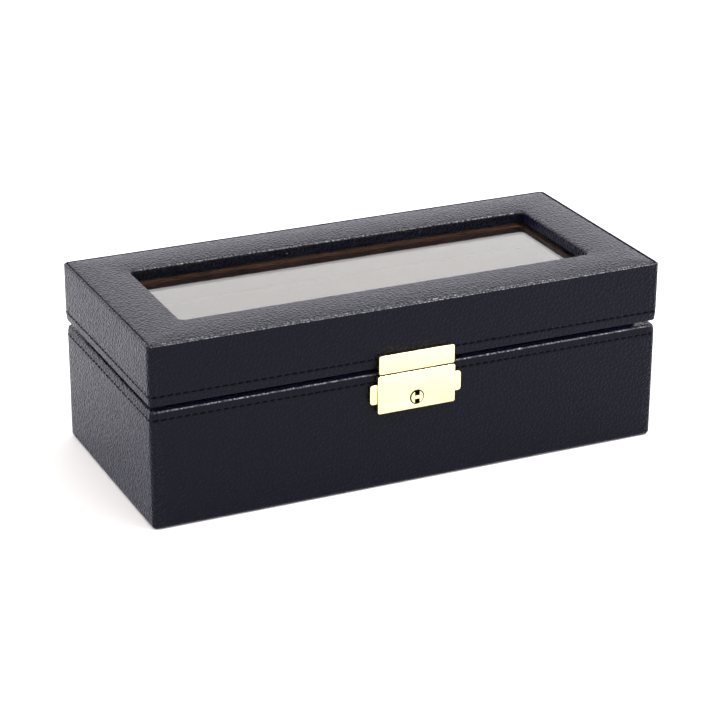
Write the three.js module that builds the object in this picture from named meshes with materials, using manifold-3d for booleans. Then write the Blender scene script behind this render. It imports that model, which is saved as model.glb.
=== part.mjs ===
// Watch box: a leather-covered case with a windowed lid, two back hinges, a press-button lock
// in front and a row of watch pillows inside. Millimetres, front towards -Y, standing on Z = 0.
import * as THREE from "three";
import { RoundedBoxGeometry } from "three/addons/geometries/RoundedBoxGeometry.js";
import { mergeVertices } from "three/addons/utils/BufferGeometryUtils.js";
import Module from "manifold-3d";

const wasm = await Module();
wasm.setup();

// Case
const WIDTH = 250;
const DEPTH = 113;
const HEIGHT = 87;
const LID_BOTTOM = 58;
const RIM_TOP = 55.8;
const LID_OVERHANG = 0.3;
const CORNER_RADIUS = 3;
const GAP = 0.3; // left between pieces that are glued, nailed or seated on each other

// Sheet materials
const LEATHER = 1;
const BOARD = 6;
const BOTTOM_BOARD = 3;
const TOP_BOARD = 4.4;
const CARD = 1.5;
const FELT = 1.2;
const GLASS = 2;
const RETAINER = 2;

// Window
const WINDOW_MARGIN = 24;
const WINDOW_ROLL = 2.5;
const WINDOW_CORNER = 2.5;
const TOP_GROOVE = 0.8;
const TOP_GROOVE_DROP = 0.5;
const GLASS_BITE = 7;
const RETAINER_SHOWS = 3;

// Inside
const COMPARTMENTS = 5;
const NECK_TOP = 60;
const DIVIDER = 2;
const DIVIDER_TOP = 46;
const PILLOW = { width: 41, depth: 76, height: 44, edge: 9 };

// Hinges
const HINGE_X = 70;
const HINGE_WIDTH = 30;
const HINGE_LEAF = 1;
const HINGE_LEAF_HEIGHT = 14;
const BARREL_RADIUS = 2.1;
const PIN_RADIUS = 1;
const PIN_CLEARANCE = 0.1;
const STOP_TAB = { reach: 3.8, low: -0.8, high: 0.45 };
const SCREW_SPACING = 18;
const SCREW = { head: 2.2, shank: 1.1, length: 6, sink: 0.9 };

// Lock
const LOCK = { width: 38.1, bottom: 37.25, top: 55.4, proud: 3, face: 0.7, wall: 1 };
const HASP = { width: 37.2, bottom: 56.1, top: 65, thickness: 2.4 };
const BUTTON = { reach: 22.4, bottom: 41.9, top: 51.3, corner: 1.6, thickness: 1.7 };
const PLUG = { radius: 3.2, z: 42.8, flange: 3.9, shaft: 1.9, proud: 0.4 };
const TONGUE = { inner: 6.5, outer: 9.5, bottom: 48.9, thickness: 1.4, window: [50, 52] };
const TRAY = { width: 35.6, bottom: 38.5, top: 54.1, depth: 4.6, wall: 1 };
const HASP_SCREW_X = 11;
const CATCH = {
  shoulder: { width: 1.3, rise: 1.6 }, // behind the cover's end wall, above and below the button
  root: 8.5, // where the slide meets the upright part
  low: 43.5,
  hook: { inner: 4.2, stem: 5.4, tip: 6.2, low: 50.3, high: 51.5 },
};
const HEEL = { width: 1.2, height: 2.5, reach: 1.6 }; // what the cam turns against
const SPRING = { radius: 0.75, wire: 0.2, length: 7.2, turns: 6, z: 50.2 };
const KEYWAY = { half: 1.2, height: 2.3, apart: 3.9, depth: 4 };
const CAM = { radius: 3, arm: 5.2, armHalf: 1.6, thickness: 1.2 };

// Surfaces worked out from the sizes above
const lidHalf = { x: WIDTH / 2, y: DEPTH / 2 };
const baseHalf = { x: lidHalf.x - LID_OVERHANG, y: lidHalf.y - LID_OVERHANG };
const boardOuter = LEATHER + GAP;
const boardInner = boardOuter + BOARD;
const cardOuter = boardInner + GAP;
const cardInner = cardOuter + CARD;
const leatherUnderside = 0.3;
const bottomBoardLow = leatherUnderside + LEATHER + GAP;
const wallLow = bottomBoardLow + BOTTOM_BOARD + GAP;
const wallTop = RIM_TOP - LEATHER - GAP;
const insideLow = wallLow + CARD + GAP;
const topBoardHigh = HEIGHT - LEATHER - GAP;
const topBoardLow = topBoardHigh - TOP_BOARD;
const glassLow = topBoardLow - GAP - GLASS;
const retainerLow = glassLow - GAP - RETAINER;
const lidWallLow = LID_BOTTOM + LEATHER + GAP;
const lidWallTop = topBoardLow - GAP;
const panelInset = LEATHER + TOP_GROOVE;
const hingeAxis = { y: lidHalf.y + GAP + BARREL_RADIUS, z: (RIM_TOP + LID_BOTTOM) / 2 - 0.1 };
const lockFront = -baseHalf.y - LOCK.proud;
const catchFront = lockFront + LOCK.face + GAP;
const catchBack = catchFront + BUTTON.thickness;
const trayFront = catchBack + GAP;
const haspFront = -lidHalf.y - GAP - HASP.thickness;

// Materials
const finish = (color, roughness, metalness = 0) =>
  new THREE.MeshStandardMaterial({ color, roughness, metalness });
const blackLeather = () => finish(0x26262b, 0.5);
const fibreboard = () => finish(0x9a7b58, 0.9);
const brownSuede = () => finish(0x3a261b, 0.95);
const pillowSuede = () => finish(0x57402f, 0.95);
const blackFelt = () => finish(0x141416, 1);
const goldPlate = () => finish(0xe8cf8e, 0.22, 1);
const brass = () => finish(0xc9a45a, 0.3, 1);
const steel = () => finish(0xb9bbbd, 0.35, 1);
const clearGlass = () =>
  new THREE.MeshStandardMaterial({ color: 0xf4f6f6, roughness: 0.05, transparent: true, opacity: 0.35 });

// Solids: closed geometries that can be joined and cut
function solid(geometry) {
  const loose = geometry.index ? geometry.toNonIndexed() : geometry;
  const bare = new THREE.BufferGeometry().setAttribute("position", loose.getAttribute("position"));
  const merged = mergeVertices(bare, 1e-4);
  return new wasm.Manifold(
    new wasm.Mesh({
      numProp: 3,
      vertProperties: new Float32Array(merged.attributes.position.array),
      triVerts: new Uint32Array(merged.index.array),
    }),
  );
}

function toGeometry(body) {
  const { vertProperties, triVerts } = body.getMesh();
  const geometry = new THREE.BufferGeometry();
  geometry.setAttribute("position", new THREE.BufferAttribute(vertProperties, 3));
  geometry.setIndex(new THREE.BufferAttribute(triVerts, 1));
  const flat = geometry.toNonIndexed();
  flat.computeVertexNormals();
  return flat;
}

const cut = (body, cutters) => cutters.reduce((left, cutter) => left.subtract(solid(cutter)), body);
const join = (geometries) =>
  geometries.slice(1).reduce((sum, next) => sum.add(solid(next)), solid(geometries[0]));

function box([x0, x1], [y0, y1], [z0, z1]) {
  const geometry = new THREE.BoxGeometry(x1 - x0, y1 - y0, z1 - z0);
  return geometry.translate((x0 + x1) / 2, (y0 + y1) / 2, (z0 + z1) / 2);
}

// A cylinder along X or Y that starts at one point and runs a length up that axis
function rod(axis, radius, [x, y, z], length, segments = 24) {
  const geometry = new THREE.CylinderGeometry(radius, radius, length, segments);
  if (axis === "x") geometry.rotateZ(-Math.PI / 2).translate(x + length / 2, y, z);
  else geometry.translate(x, y + length / 2, z);
  return geometry;
}

// An outline drawn in X and Z, from its front at y down a thickness towards +Y
function frontPlate(outline, y, thickness, bevel = 0) {
  const options = {
    depth: thickness - 2 * bevel,
    bevelEnabled: bevel > 0,
    bevelSize: bevel,
    bevelOffset: -bevel,
    bevelThickness: bevel,
    bevelSegments: 2,
    curveSegments: 6,
  };
  return new THREE.ExtrudeGeometry(outline, options)
    .rotateX(Math.PI / 2)
    .translate(0, y + thickness - bevel, 0);
}

function roundedRectangle([x0, x1], [z0, z1], radius) {
  const outline = new THREE.Shape();
  outline.absarc(x1 - radius, z0 + radius, radius, -Math.PI / 2, 0);
  outline.absarc(x1 - radius, z1 - radius, radius, 0, Math.PI / 2);
  outline.absarc(x0 + radius, z1 - radius, radius, Math.PI / 2, Math.PI);
  outline.absarc(x0 + radius, z0 + radius, radius, Math.PI, 1.5 * Math.PI);
  return outline;
}

// Wrapped covers: a closed profile of {inset, z, radius} points carried round a rounded rectangle.
// inset is the distance in from the half's outer face, and radius is the corner's at that point.
function wrap(half, profile, cornerSteps = 5) {
  const loops = profile.map(({ inset, z, radius }) => {
    const loop = [];
    for (let corner = 0; corner < 4; corner++) {
      const right = corner === 0 || corner === 3 ? 1 : -1;
      const back = corner < 2 ? 1 : -1;
      for (let step = 0; step <= cornerSteps; step++) {
        const angle = ((corner + step / cornerSteps) * Math.PI) / 2;
        const x = right * (half.x - inset - radius) + radius * Math.cos(angle);
        const y = back * (half.y - inset - radius) + radius * Math.sin(angle);
        loop.push(new THREE.Vector3(x, y, z));
      }
    }
    return loop;
  });
  const around = loops[0].length;
  const index = [];
  for (let row = 0; row < loops.length; row++) {
    const above = (row + 1) % loops.length;
    for (let i = 0; i < around; i++) {
      const next = (i + 1) % around;
      const [a, b] = [row * around + i, row * around + next];
      const [c, d] = [above * around + next, above * around + i];
      index.push(a, b, c, a, c, d);
    }
  }
  return new THREE.BufferGeometry().setFromPoints(loops.flat()).setIndex(index);
}

// Profile points whose corners follow the case's outside, the square boards in it, or the window's
const outside = (inset, z) => ({ inset, z, radius: Math.max(CORNER_RADIUS - inset, 0.4) });
const square = (inset, z) => ({ inset, z, radius: 0.4 });
const byWindow = (inset, z) => ({ inset, z, radius: WINDOW_CORNER + WINDOW_MARGIN - inset });

// A quarter turn of profile points round a centre, between two angles in degrees
function turn(place, centreInset, centreZ, radius, from, to, steps = 4) {
  return Array.from({ length: steps + 1 }, (_, i) => {
    const angle = THREE.MathUtils.degToRad(from + ((to - from) * i) / steps);
    return place(centreInset + radius * Math.cos(angle), centreZ + radius * Math.sin(angle));
  });
}

// Scene
const watchBox = new THREE.Group();
const base = new THREE.Group();
const lid = new THREE.Group();
watchBox.add(base, lid);

function place(group, name, shape, material) {
  const geometry = shape.isBufferGeometry ? shape : toGeometry(shape);
  const mesh = new THREE.Mesh(geometry, material);
  mesh.name = name;
  group.add(mesh);
  return mesh;
}

// Four upright sheets round a half of the case, front and back running the full width
function fourWalls(group, half, prefix, suffix, [outer, inner], [low, high], material) {
  const { x, y } = half;
  const shapes = {
    front: [[outer - x, x - outer], [outer - y, inner - y]],
    back: [[outer - x, x - outer], [y - inner, y - outer]],
    left: [[outer - x, inner - x], [inner - y + GAP, y - inner - GAP]],
    right: [[x - inner, x - outer], [inner - y + GAP, y - inner - GAP]],
  };
  return Object.fromEntries(
    Object.entries(shapes).map(([side, [across, along]]) => [
      side,
      place(group, `${prefix}_${side}${suffix}`, box(across, along, [low, high]), material()),
    ]),
  );
}

function recut(mesh, cutters) {
  mesh.geometry = toGeometry(cut(solid(mesh.geometry), cutters));
}

// Lock mortise: the pocket in the base's front that takes the lock tray
const mortise = box(
  [-TRAY.width / 2 - GAP, TRAY.width / 2 + GAP],
  [-baseHalf.y - 1, trayFront + TRAY.depth + GAP],
  [TRAY.bottom - GAP, TRAY.top + GAP],
);

// Hinge screws: two in each leaf of each hinge, driven towards -Y
const screwHeights = {
  base: hingeAxis.z - BARREL_RADIUS - HINGE_LEAF_HEIGHT / 2,
  lid: hingeAxis.z + BARREL_RADIUS + HINGE_LEAF_HEIGHT / 2,
};
const leafFront = { base: baseHalf.y + GAP, lid: lidHalf.y + GAP };
const hingeScrewPlaces = ["base", "lid"].flatMap((part) =>
  [-1, 1].flatMap((side) =>
    [-1, 1].map((end) => ({
      part,
      x: side * HINGE_X + (end * SCREW_SPACING) / 2,
      y: leafFront[part] + HINGE_LEAF,
      z: screwHeights[part],
    })),
  ),
);
const screwHoles = (part) =>
  hingeScrewPlaces
    .filter((at) => at.part === part)
    .map(({ x, y, z }) => rod("y", SCREW.shank + 0.1, [x, y - SCREW.length - GAP, z], SCREW.length, 16));

// Hasp screws: two from inside the lid's front board into the hasp plate
const haspScrewPlaces = [-1, 1].map((side) => ({
  x: side * HASP_SCREW_X,
  y: boardInner - lidHalf.y,
  z: (lidWallLow + HASP.top) / 2,
}));
const haspScrewLength = HASP.thickness - 1 + GAP + boardInner;
const haspScrewHoles = haspScrewPlaces.flatMap(({ x, y, z }) => [
  rod("y", SCREW.shank + 0.1, [x, y - haspScrewLength - GAP, z], haspScrewLength + 1, 16),
  rod("y", SCREW.head + 0.2, [x, y - SCREW.sink - 3 * GAP, z], 3, 16),
]);

// Base leather: down over the rim, round the walls and folded under the bottom
const baseLeatherProfile = [
  outside(boardInner, leatherUnderside),
  ...turn(outside, 1.5, leatherUnderside + 1.5, 1.5, 270, 180),
  ...turn(outside, 1, RIM_TOP - 1, 1, 180, 90),
  outside(boardInner, RIM_TOP),
  outside(boardInner, RIM_TOP - LEATHER),
  square(LEATHER, RIM_TOP - LEATHER),
  square(LEATHER, leatherUnderside + LEATHER),
  outside(boardInner, leatherUnderside + LEATHER),
];
const baseLeather = cut(solid(wrap(baseHalf, baseLeatherProfile)), [mortise, ...screwHoles("base")]);
place(base, "base_leather", baseLeather, blackLeather());

// Base case: felt, bottom board and the four boards that stand on it
const feltHalf = { x: baseHalf.x - boardInner - GAP, y: baseHalf.y - boardInner - GAP };
place(base, "base_felt", box([-feltHalf.x, feltHalf.x], [-feltHalf.y, feltHalf.y], [0, FELT]), blackFelt());
const bottomHalf = { x: baseHalf.x - boardOuter, y: baseHalf.y - boardOuter };
place(
  base,
  "base_bottom_board",
  box([-bottomHalf.x, bottomHalf.x], [-bottomHalf.y, bottomHalf.y], [bottomBoardLow, wallLow - GAP]),
  fibreboard(),
);
const baseBoards = fourWalls(
  base, baseHalf, "base", "_board", [boardOuter, boardInner], [wallLow, wallTop], fibreboard,
);
recut(baseBoards.front, [mortise]);
recut(baseBoards.back, screwHoles("base"));

// Base lining: suede-covered cards; the walls stand above the rim as the neck the lid drops over
const insideHalf = { x: baseHalf.x - cardInner, y: baseHalf.y - cardInner };
const liningHalf = { x: baseHalf.x - cardOuter, y: baseHalf.y - cardOuter };
place(
  base,
  "base_floor_lining",
  box([-liningHalf.x, liningHalf.x], [-liningHalf.y, liningHalf.y], [wallLow, wallLow + CARD]),
  brownSuede(),
);
fourWalls(base, baseHalf, "base", "_lining", [cardOuter, cardInner], [insideLow, NECK_TOP], brownSuede);

// Dividers and pillows share the inside evenly
const pitch = (2 * insideHalf.x + DIVIDER) / COMPARTMENTS;
for (let i = 1; i < COMPARTMENTS; i++) {
  const x = (i - COMPARTMENTS / 2) * pitch;
  const along = insideHalf.y - GAP;
  const sheet = box([x - DIVIDER / 2, x + DIVIDER / 2], [-along, along], [insideLow, DIVIDER_TOP]);
  place(base, `divider_${i}`, sheet, brownSuede());
}
for (let i = 1; i <= COMPARTMENTS; i++) {
  const cushion = new RoundedBoxGeometry(PILLOW.width, PILLOW.depth, PILLOW.height, 2, PILLOW.edge);
  const pillow = place(base, `watch_pillow_${i}`, cushion, pillowSuede());
  pillow.position.set((i - (COMPARTMENTS + 1) / 2) * pitch, 0, insideLow + PILLOW.height / 2);
}

// Lid side leather: folded under the boards' lower edge, up the sides to the groove round the top
const sideTop = HEIGHT - TOP_GROOVE_DROP;
const sideLeatherProfile = [
  outside(boardInner, LID_BOTTOM),
  ...turn(outside, 1, LID_BOTTOM + 1, 1, 270, 180),
  ...turn(outside, 0.6, sideTop - 0.6, 0.6, 180, 90),
  outside(LEATHER, sideTop),
  outside(LEATHER, topBoardLow),
  square(LEATHER, lidWallTop),
  square(LEATHER, LID_BOTTOM + LEATHER),
  outside(boardInner, LID_BOTTOM + LEATHER),
];
const sideLeather = cut(solid(wrap(lidHalf, sideLeatherProfile)), [
  ...screwHoles("lid"),
  ...haspScrewHoles,
]);
place(lid, "lid_side_leather", sideLeather, blackLeather());

// Lid top leather: over the top panel and rolled down into the window
const rollZ = HEIGHT - WINDOW_ROLL;
const rollInset = WINDOW_MARGIN - WINDOW_ROLL;
const topLeatherProfile = [
  outside(panelInset, topBoardLow),
  ...turn(outside, panelInset + 1, HEIGHT - 1, 1, 180, 90),
  ...turn(byWindow, rollInset, rollZ, WINDOW_ROLL, 90, 0, 6),
  byWindow(WINDOW_MARGIN, topBoardLow),
  byWindow(WINDOW_MARGIN - LEATHER, topBoardLow),
  ...turn(byWindow, rollInset, rollZ, WINDOW_ROLL - LEATHER, 0, 90, 6),
  outside(panelInset + LEATHER, HEIGHT - LEATHER),
  outside(panelInset + LEATHER, topBoardLow),
];
place(lid, "lid_top_leather", wrap(lidHalf, topLeatherProfile), blackLeather());

// Lid boards: the window panel on top of four boards
const panelOuter = panelInset + LEATHER + GAP;
const panelInner = WINDOW_MARGIN - LEATHER - GAP;
const topBoardProfile = [
  outside(panelOuter, topBoardLow),
  outside(panelOuter, topBoardHigh),
  ...turn(byWindow, rollInset, rollZ, WINDOW_ROLL - LEATHER - GAP, 90, 0),
  byWindow(panelInner, topBoardLow),
];
place(lid, "lid_top_board", wrap(lidHalf, topBoardProfile), fibreboard());
const lidBoards = fourWalls(
  lid, lidHalf, "lid", "_board", [boardOuter, boardInner], [lidWallLow, lidWallTop], fibreboard,
);
recut(lidBoards.front, haspScrewHoles);
recut(lidBoards.back, screwHoles("lid"));

// Window glass, and the suede-covered frame that holds it up from inside
const glassHalf = { x: lidHalf.x - WINDOW_MARGIN + GLASS_BITE, y: lidHalf.y - WINDOW_MARGIN + GLASS_BITE };
place(
  lid,
  "window_glass",
  box([-glassHalf.x, glassHalf.x], [-glassHalf.y, glassHalf.y], [glassLow, glassLow + GLASS]),
  clearGlass(),
);
const retainerInner = WINDOW_MARGIN + RETAINER_SHOWS;
const retainerProfile = [
  outside(cardOuter, retainerLow),
  outside(cardOuter, retainerLow + RETAINER),
  { inset: retainerInner, z: retainerLow + RETAINER, radius: 2 },
  { inset: retainerInner, z: retainerLow, radius: 2 },
];
place(lid, "glass_retainer", wrap(lidHalf, retainerProfile), brownSuede());
const lidCards = [cardOuter, cardInner];
fourWalls(lid, lidHalf, "lid", "_lining", lidCards, [NECK_TOP + GAP, retainerLow - GAP], brownSuede);

// Hinges: a leaf on each half, interleaved knuckles and a headed pin
const knuckle = (HINGE_WIDTH - 2 * GAP) / 3;
const leafSpan = {
  base: { z: [hingeAxis.z - BARREL_RADIUS - HINGE_LEAF_HEIGHT, hingeAxis.z - BARREL_RADIUS - GAP] },
  lid: { z: [hingeAxis.z + BARREL_RADIUS - GAP, hingeAxis.z + BARREL_RADIUS + HINGE_LEAF_HEIGHT] },
};

// The tab behind each base knuckle that the open lid's leaf comes down on
function stopTab(from) {
  const { reach, low, high } = STOP_TAB;
  const outwards = [hingeAxis.y + PIN_RADIUS, hingeAxis.y + reach];
  return box([from, from + knuckle], outwards, [hingeAxis.z + low, hingeAxis.z + high]);
}

function hingeLeaf(part, hingeX) {
  const left = hingeX - HINGE_WIDTH / 2;
  const starts = part === "base" ? [0, 2 * (knuckle + GAP)] : [knuckle + GAP];
  const back = leafFront[part] + HINGE_LEAF;
  const low = part === "base" ? hingeAxis.z - BARREL_RADIUS - 1 : hingeAxis.z + 0.4;
  const high = part === "base" ? hingeAxis.z - 0.4 : hingeAxis.z + BARREL_RADIUS + 1;
  const pieces = [box([left, left + HINGE_WIDTH], [leafFront[part], back], leafSpan[part].z)];
  for (const start of starts) {
    const from = left + start;
    pieces.push(rod("x", BARREL_RADIUS, [from, hingeAxis.y, hingeAxis.z], knuckle));
    pieces.push(box([from, from + knuckle], [leafFront[part], hingeAxis.y - PIN_RADIUS], [low, high]));
    if (part === "base") pieces.push(stopTab(from));
  }
  const pinHole = rod(
    "x", PIN_RADIUS + PIN_CLEARANCE, [left - 1, hingeAxis.y, hingeAxis.z], HINGE_WIDTH + 2,
  );
  const holes = hingeScrewPlaces
    .filter((at) => at.part === part && Math.abs(at.x - hingeX) < HINGE_WIDTH / 2)
    .map(({ x, y, z }) => rod("y", SCREW.head + 0.1, [x, y - HINGE_LEAF - 1, z], HINGE_LEAF + 2, 20));
  return cut(join(pieces), [pinHole, ...holes]);
}

function hingePin(hingeX) {
  const head = 0.8;
  const left = hingeX - HINGE_WIDTH / 2 - GAP;
  const right = hingeX + HINGE_WIDTH / 2 + GAP;
  const { y, z } = hingeAxis;
  return join([
    rod("x", PIN_RADIUS, [left - head / 2, y, z], HINGE_WIDTH + 2 * GAP + head),
    rod("x", BARREL_RADIUS * 0.75, [left - head, y, z], head),
    rod("x", BARREL_RADIUS * 0.75, [right, y, z], head),
  ]);
}

// A countersunk cross-head screw along Y, its head's face at y = 0 and its point towards -Y
function screw(length) {
  const { head, shank, sink } = SCREW;
  const profile = [
    [0, -length],
    [shank * 0.4, -length + 0.6],
    [shank, -length + 2],
    [shank, -sink - 0.3],
    [head, -0.3],
    [head * 0.9, 0],
    [0, 0],
  ].map(([radius, y]) => new THREE.Vector2(radius, y));
  const slot = head * 0.65;
  const across = box([-slot, slot], [-0.5, 1], [-0.25, 0.25]);
  const upright = box([-0.25, 0.25], [-0.5, 1], [-slot, slot]);
  return cut(solid(new THREE.LatheGeometry(profile, 16)), [across, upright]);
}

for (const [side, sign] of [["left", -1], ["right", 1]]) {
  place(base, `hinge_${side}_base_leaf`, hingeLeaf("base", sign * HINGE_X), brass());
  place(lid, `hinge_${side}_lid_leaf`, hingeLeaf("lid", sign * HINGE_X), brass());
  place(base, `hinge_${side}_pin`, hingePin(sign * HINGE_X), brass());
}
hingeScrewPlaces.forEach(({ part, x, y, z }, i) => {
  const group = part === "base" ? base : lid;
  const number = (i % 4) + 1;
  place(group, `hinge_${part}_screw_${number}`, screw(SCREW.length), brass()).position.set(x, y, z);
});

// Hasp: a bevelled plate with a two-legged tongue whose windows the catches hook
const haspBar = frontPlate(
  roundedRectangle([-HASP.width / 2, HASP.width / 2], [HASP.bottom, HASP.top], 0.9),
  haspFront, HASP.thickness, 0.5,
);
const tongueBack = trayFront - GAP;
const tongueLegs = [-1, 1].map((side) => {
  const across = [side * TONGUE.inner, side * TONGUE.outer].sort((a, b) => a - b);
  const through = [tongueBack - TONGUE.thickness, tongueBack];
  return box(across, through, [TONGUE.bottom, LID_BOTTOM - GAP]);
});
const hookWindows = [-1, 1].map((side) => {
  const across = [side * (TONGUE.inner - 1), side * (TONGUE.inner + 1.4)].sort((a, b) => a - b);
  return box(across, [haspFront, tongueBack + 1], TONGUE.window);
});
const hasp = cut(join([haspBar, ...tongueLegs]), [...hookWindows, ...haspScrewHoles]);
place(lid, "hasp_plate", hasp, goldPlate());
haspScrewPlaces.forEach(({ x, y, z }, i) => {
  place(lid, `hasp_screw_${i + 1}`, screw(haspScrewLength), steel()).position.set(x, y - GAP, z);
});

// Lock cover: a shallow shell with slots for the buttons and tongue and a hole for the plug
const lockHalf = LOCK.width / 2;
const lockShell = frontPlate(
  roundedRectangle([-lockHalf, lockHalf], [LOCK.bottom, LOCK.top], 1), lockFront, LOCK.proud - GAP, 0.4,
);
const lockInside = lockHalf - LOCK.wall;
const lockCavity = box(
  [-lockInside, lockInside],
  [lockFront + LOCK.face, -baseHalf.y],
  [LOCK.bottom + LOCK.wall, LOCK.top - LOCK.wall],
);
const buttonSlot = box(
  [-lockHalf - 1, lockHalf + 1],
  [catchFront - GAP, -baseHalf.y],
  [BUTTON.bottom - GAP, BUTTON.top + GAP],
);
const tongueSlot = box(
  [-TONGUE.outer - 0.8, TONGUE.outer + 0.8],
  [tongueBack - TONGUE.thickness - 0.4, -baseHalf.y],
  [LOCK.top - LOCK.wall - 1, LOCK.top + 1],
);
const plugHole = rod("y", PLUG.radius + 0.2, [0, lockFront - 1, PLUG.z], LOCK.face + 2, 28);
const lockCover = cut(solid(lockShell), [lockCavity, buttonSlot, tongueSlot, plugHole]);
place(base, "lock_cover", lockCover, goldPlate());

// Lock tray: the open box set into the mortise behind the cover
const trayHalf = TRAY.width / 2;
const trayBox = box(
  [-trayHalf, trayHalf], [trayFront, trayFront + TRAY.depth], [TRAY.bottom, TRAY.top],
);
const trayHollow = box(
  [TRAY.wall - trayHalf, trayHalf - TRAY.wall],
  [trayFront - 1, trayFront + TRAY.depth - TRAY.wall],
  [TRAY.bottom + TRAY.wall, TRAY.top - TRAY.wall],
);
place(base, "lock_tray", cut(solid(trayBox), [trayHollow]), steel());

// Catches: a push button, a shoulder behind the cover's wall, a slide and an upright hook
const strip = { bottom: PLUG.z + PLUG.flange + 0.5, top: TONGUE.bottom - 0.5 };
function catchOutline(side) {
  const { reach, bottom, top, corner } = BUTTON;
  const { hook, root, low } = CATCH;
  const { width, rise } = CATCH.shoulder;
  const shoulder = lockInside - GAP;
  const outline = new THREE.Shape();
  const point = (x, z) => outline.lineTo(side * x, z);
  outline.moveTo(side * (reach - corner), bottom);
  outline.quadraticCurveTo(side * reach, bottom, side * reach, bottom + corner);
  point(reach, top - corner);
  outline.quadraticCurveTo(side * reach, top, side * (reach - corner), top);
  point(shoulder, top);
  point(shoulder, top + rise);
  point(shoulder - width, top + rise);
  point(shoulder - width, strip.top);
  point(hook.stem, strip.top);
  point(hook.stem, hook.low);
  point(hook.tip, hook.low);
  point(hook.tip, hook.high);
  point(hook.inner, hook.high);
  point(hook.inner, strip.bottom);
  point(root, strip.bottom);
  point(root, low);
  point(shoulder - width, low);
  point(shoulder - width, bottom - rise);
  point(shoulder, bottom - rise);
  point(shoulder, bottom);
  return outline;
}
const leftCatch = frontPlate(catchOutline(-1), catchFront, BUTTON.thickness);
place(base, "left_catch", leftCatch, goldPlate());
const rightCatch = frontPlate(catchOutline(1), catchFront, BUTTON.thickness);
const lockHeel = box(
  [CATCH.root, CATCH.root + HEEL.width],
  [catchBack - 1, trayFront + HEEL.reach],
  [CATCH.low, CATCH.low + HEEL.height],
);
place(base, "right_catch", join([rightCatch, lockHeel]), goldPlate());

// Catch spring: one compression spring that pushes both catches outwards
class Helix extends THREE.Curve {
  constructor(radius, length, turns) {
    super();
    Object.assign(this, { radius, length, turns });
  }
  getPoint(t, target = new THREE.Vector3()) {
    const angle = 2 * Math.PI * this.turns * t;
    const y = this.radius * Math.cos(angle);
    return target.set((t - 0.5) * this.length, y, this.radius * Math.sin(angle));
  }
}
const wireSection = new THREE.Shape().absarc(0, 0, SPRING.wire, 0, 2 * Math.PI);
const springWire = new THREE.ExtrudeGeometry(wireSection, {
  extrudePath: new Helix(SPRING.radius, SPRING.length, SPRING.turns),
  steps: 12 * SPRING.turns,
  curveSegments: 3,
});
const spring = place(base, "catch_spring", springWire, steel());
spring.position.set(0, (catchFront + catchBack) / 2, SPRING.z);

// Lock plug: a headed cylinder with a two-part keyway, and the cam behind it
const plugFront = lockFront - PLUG.proud;
const plugBack = trayFront + TRAY.depth - TRAY.wall - GAP;
const plugProfile = [
  [0, plugBack],
  [PLUG.shaft, plugBack],
  [PLUG.shaft, catchFront + 1],
  [PLUG.flange, catchFront + 1],
  [PLUG.flange, catchFront],
  [PLUG.radius, catchFront],
  [PLUG.radius, plugFront + 0.3],
  [PLUG.radius - 0.3, plugFront],
  [0, plugFront],
].map(([radius, y]) => new THREE.Vector2(radius, y)).reverse();
const keyways = [-1, 1].map((side) => {
  const z = (side * KEYWAY.apart) / 2;
  const tall = [z - KEYWAY.height / 2, z + KEYWAY.height / 2];
  return box([-KEYWAY.half, KEYWAY.half], [plugFront - 1, plugFront + KEYWAY.depth], tall);
});
const plugSolid = cut(solid(new THREE.LatheGeometry(plugProfile, 28)), keyways);
place(base, "lock_plug", plugSolid, goldPlate()).position.z = PLUG.z;

const camFront = trayFront + GAP;
const camShape = new THREE.Shape();
camShape.absarc(0, 0, CAM.radius, 0.75 * Math.PI, 2.25 * Math.PI);
camShape.lineTo(CAM.armHalf, CAM.arm);
camShape.lineTo(-CAM.armHalf, CAM.arm);
const camPlate = frontPlate(camShape, camFront, CAM.thickness);
const camHole = rod("y", PLUG.shaft + GAP, [0, camFront - 1, 0], CAM.thickness + 2);
place(base, "lock_cam", cut(solid(camPlate), [camHole]), steel()).position.z = PLUG.z;

// The part's origin is the middle of its footprint, which the lock and hinges shift off the case's
const frontReach = -plugFront;
const backReach = hingeAxis.y + STOP_TAB.reach;
watchBox.position.y = (frontReach - backReach) / 2;

export default watchBox;
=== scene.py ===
import math

import bmesh
import bpy
import numpy as np
from mathutils import Matrix, Vector, noise
from mathutils.bvhtree import BVHTree


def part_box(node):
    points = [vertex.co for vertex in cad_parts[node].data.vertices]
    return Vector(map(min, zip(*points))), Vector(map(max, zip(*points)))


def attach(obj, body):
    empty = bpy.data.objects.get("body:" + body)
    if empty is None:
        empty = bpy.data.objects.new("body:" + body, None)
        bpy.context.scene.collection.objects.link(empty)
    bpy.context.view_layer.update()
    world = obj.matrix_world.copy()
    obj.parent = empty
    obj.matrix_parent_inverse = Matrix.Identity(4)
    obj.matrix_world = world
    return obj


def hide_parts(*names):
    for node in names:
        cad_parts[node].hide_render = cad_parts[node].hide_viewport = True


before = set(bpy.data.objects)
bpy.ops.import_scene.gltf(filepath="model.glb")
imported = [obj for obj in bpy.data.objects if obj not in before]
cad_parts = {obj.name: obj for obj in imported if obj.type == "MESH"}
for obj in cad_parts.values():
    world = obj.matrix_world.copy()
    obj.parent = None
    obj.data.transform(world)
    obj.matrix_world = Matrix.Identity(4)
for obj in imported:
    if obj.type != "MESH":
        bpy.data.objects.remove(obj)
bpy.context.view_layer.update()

# ---------------------------------------------------------------- boards
# The carcass of the case and of the lid: fibreboard sheets glued edge to edge, all hidden under
# leather and suede. They keep their cut shape and get raw fibreboard.
MM = 0.001


def new_material(name):
    """A node material: returns it, its tree and its Principled shader."""
    material = bpy.data.materials.new(name)
    material.use_nodes = True
    return material, material.node_tree, material.node_tree.nodes["Principled BSDF"]


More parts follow.
